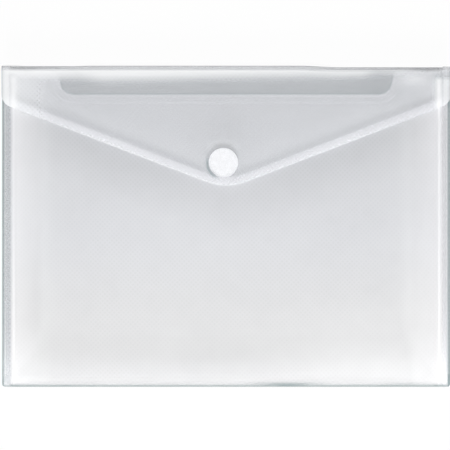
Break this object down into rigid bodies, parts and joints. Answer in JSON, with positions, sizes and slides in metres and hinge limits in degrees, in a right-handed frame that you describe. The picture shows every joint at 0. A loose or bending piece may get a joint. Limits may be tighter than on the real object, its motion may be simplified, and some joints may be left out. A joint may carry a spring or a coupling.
{
  "type": "document wallet",
  "caption": "Translucent document wallet with inward pleated gussets, a thumb-notched front and a folding V flap held by a touch-and-close coin.",
  "frame": {"origin": "middle of the back panel's underside, which lies on the table", "axes": "+X across the wallet to the right, +Y up the wallet to the flap's fold, +Z out of the front panel"},
  "size_m": [0.335, 0.24, 0.0256],
  "materials": {
    "sheet": "frosted translucent polypropylene with a fine diagonal emboss",
    "edge": "whiter where two layers of sheet are welded",
    "loop": "white knitted loop pile",
    "hook": "white woven hook tape",
    "adhesive": "clear pressure-sensitive adhesive"
  },
  "bodies": {
    "back": {"back_panel": "sheet", "left_gusset_rear_lip": "edge", "right_gusset_rear_lip": "edge", "bottom_gusset_rear_lip": "edge"},
    "front": {"front_panel": "sheet", "notch_edge_band": "edge", "left_gusset_front_lip": "edge", "right_gusset_front_lip": "edge", "bottom_gusset_front_lip": "edge", "loop_adhesive_disc": "adhesive", "loop_coin": "loop"},
    "left_rear_leaf": {"left_gusset_rear_leaf": "sheet"},
    "left_front_leaf": {"left_gusset_front_leaf": "sheet"},
    "right_rear_leaf": {"right_gusset_rear_leaf": "sheet"},
    "right_front_leaf": {"right_gusset_front_leaf": "sheet"},
    "bottom_rear_leaf": {"bottom_gusset_rear_leaf": "sheet"},
    "bottom_front_leaf": {"bottom_gusset_front_leaf": "sheet"},
    "spine": {"top_spine": "sheet"},
    "flap": {"flap_panel": "sheet", "flap_edge_band": "edge", "hook_coin": "hook", "hook_adhesive_disc": "adhesive"}
  },
  "joints": [
    {"name": "pocket_press", "type": "slide", "parent": "back", "child": "front", "axis": [0, 0, 1], "range_m": [-0.0144, 0], "stiffness_N_per_m": 100, "springref_m": 0.008},
    {"name": "left_rear_crease", "type": "hinge", "parent": "back", "child": "left_rear_leaf", "pos_m": [-0.1595, 0, 0.00105], "axis": [0, -1, 0], "range_deg": [-21.7, 0]},
    {"name": "left_front_crease", "type": "hinge", "parent": "front", "child": "left_front_leaf", "pos_m": [-0.1595, 0, 0.01995], "axis": [0, 1, 0], "range_deg": [-21.7, 0]},
    {"name": "right_rear_crease", "type": "hinge", "parent": "back", "child": "right_rear_leaf", "pos_m": [0.1595, 0, 0.00105], "axis": [0, 1, 0], "range_deg": [-21.7, 0]},
    {"name": "right_front_crease", "type": "hinge", "parent": "front", "child": "right_front_leaf", "pos_m": [0.1595, 0, 0.01995], "axis": [0, -1, 0], "range_deg": [-21.7, 0]},
    {"name": "bottom_rear_crease", "type": "hinge", "parent": "back", "child": "bottom_rear_leaf", "pos_m": [0, -0.112, 0.00105], "axis": [1, 0, 0], "range_deg": [-21.7, 0]},
    {"name": "bottom_front_crease", "type": "hinge", "parent": "front", "child": "bottom_front_leaf", "pos_m": [0, -0.112, 0.01995], "axis": [-1, 0, 0], "range_deg": [-21.7, 0]},
    {"name": "spine_fold", "type": "hinge", "parent": "back", "child": "spine", "pos_m": [0, 0.11975, 0.00025], "axis": [-1, 0, 0], "range_deg": [0, 90]},
    {"name": "flap_fold", "type": "hinge", "parent": "spine", "child": "flap", "pos_m": [0, 0.11975, 0.02535], "axis": [-1, 0, 0], "range_deg": [0, 90]}
  ],
  "couplings": [
    {"joint": "left_rear_crease", "follows": "pocket_press", "rad_per_m": 26.16},
    {"joint": "left_front_crease", "follows": "pocket_press", "rad_per_m": 26.16},
    {"joint": "right_rear_crease", "follows": "pocket_press", "rad_per_m": 26.16},
    {"joint": "right_front_crease", "follows": "pocket_press", "rad_per_m": 26.16},
    {"joint": "bottom_rear_crease", "follows": "pocket_press", "rad_per_m": 26.16},
    {"joint": "bottom_front_crease", "follows": "pocket_press", "rad_per_m": 26.16}
  ]
}
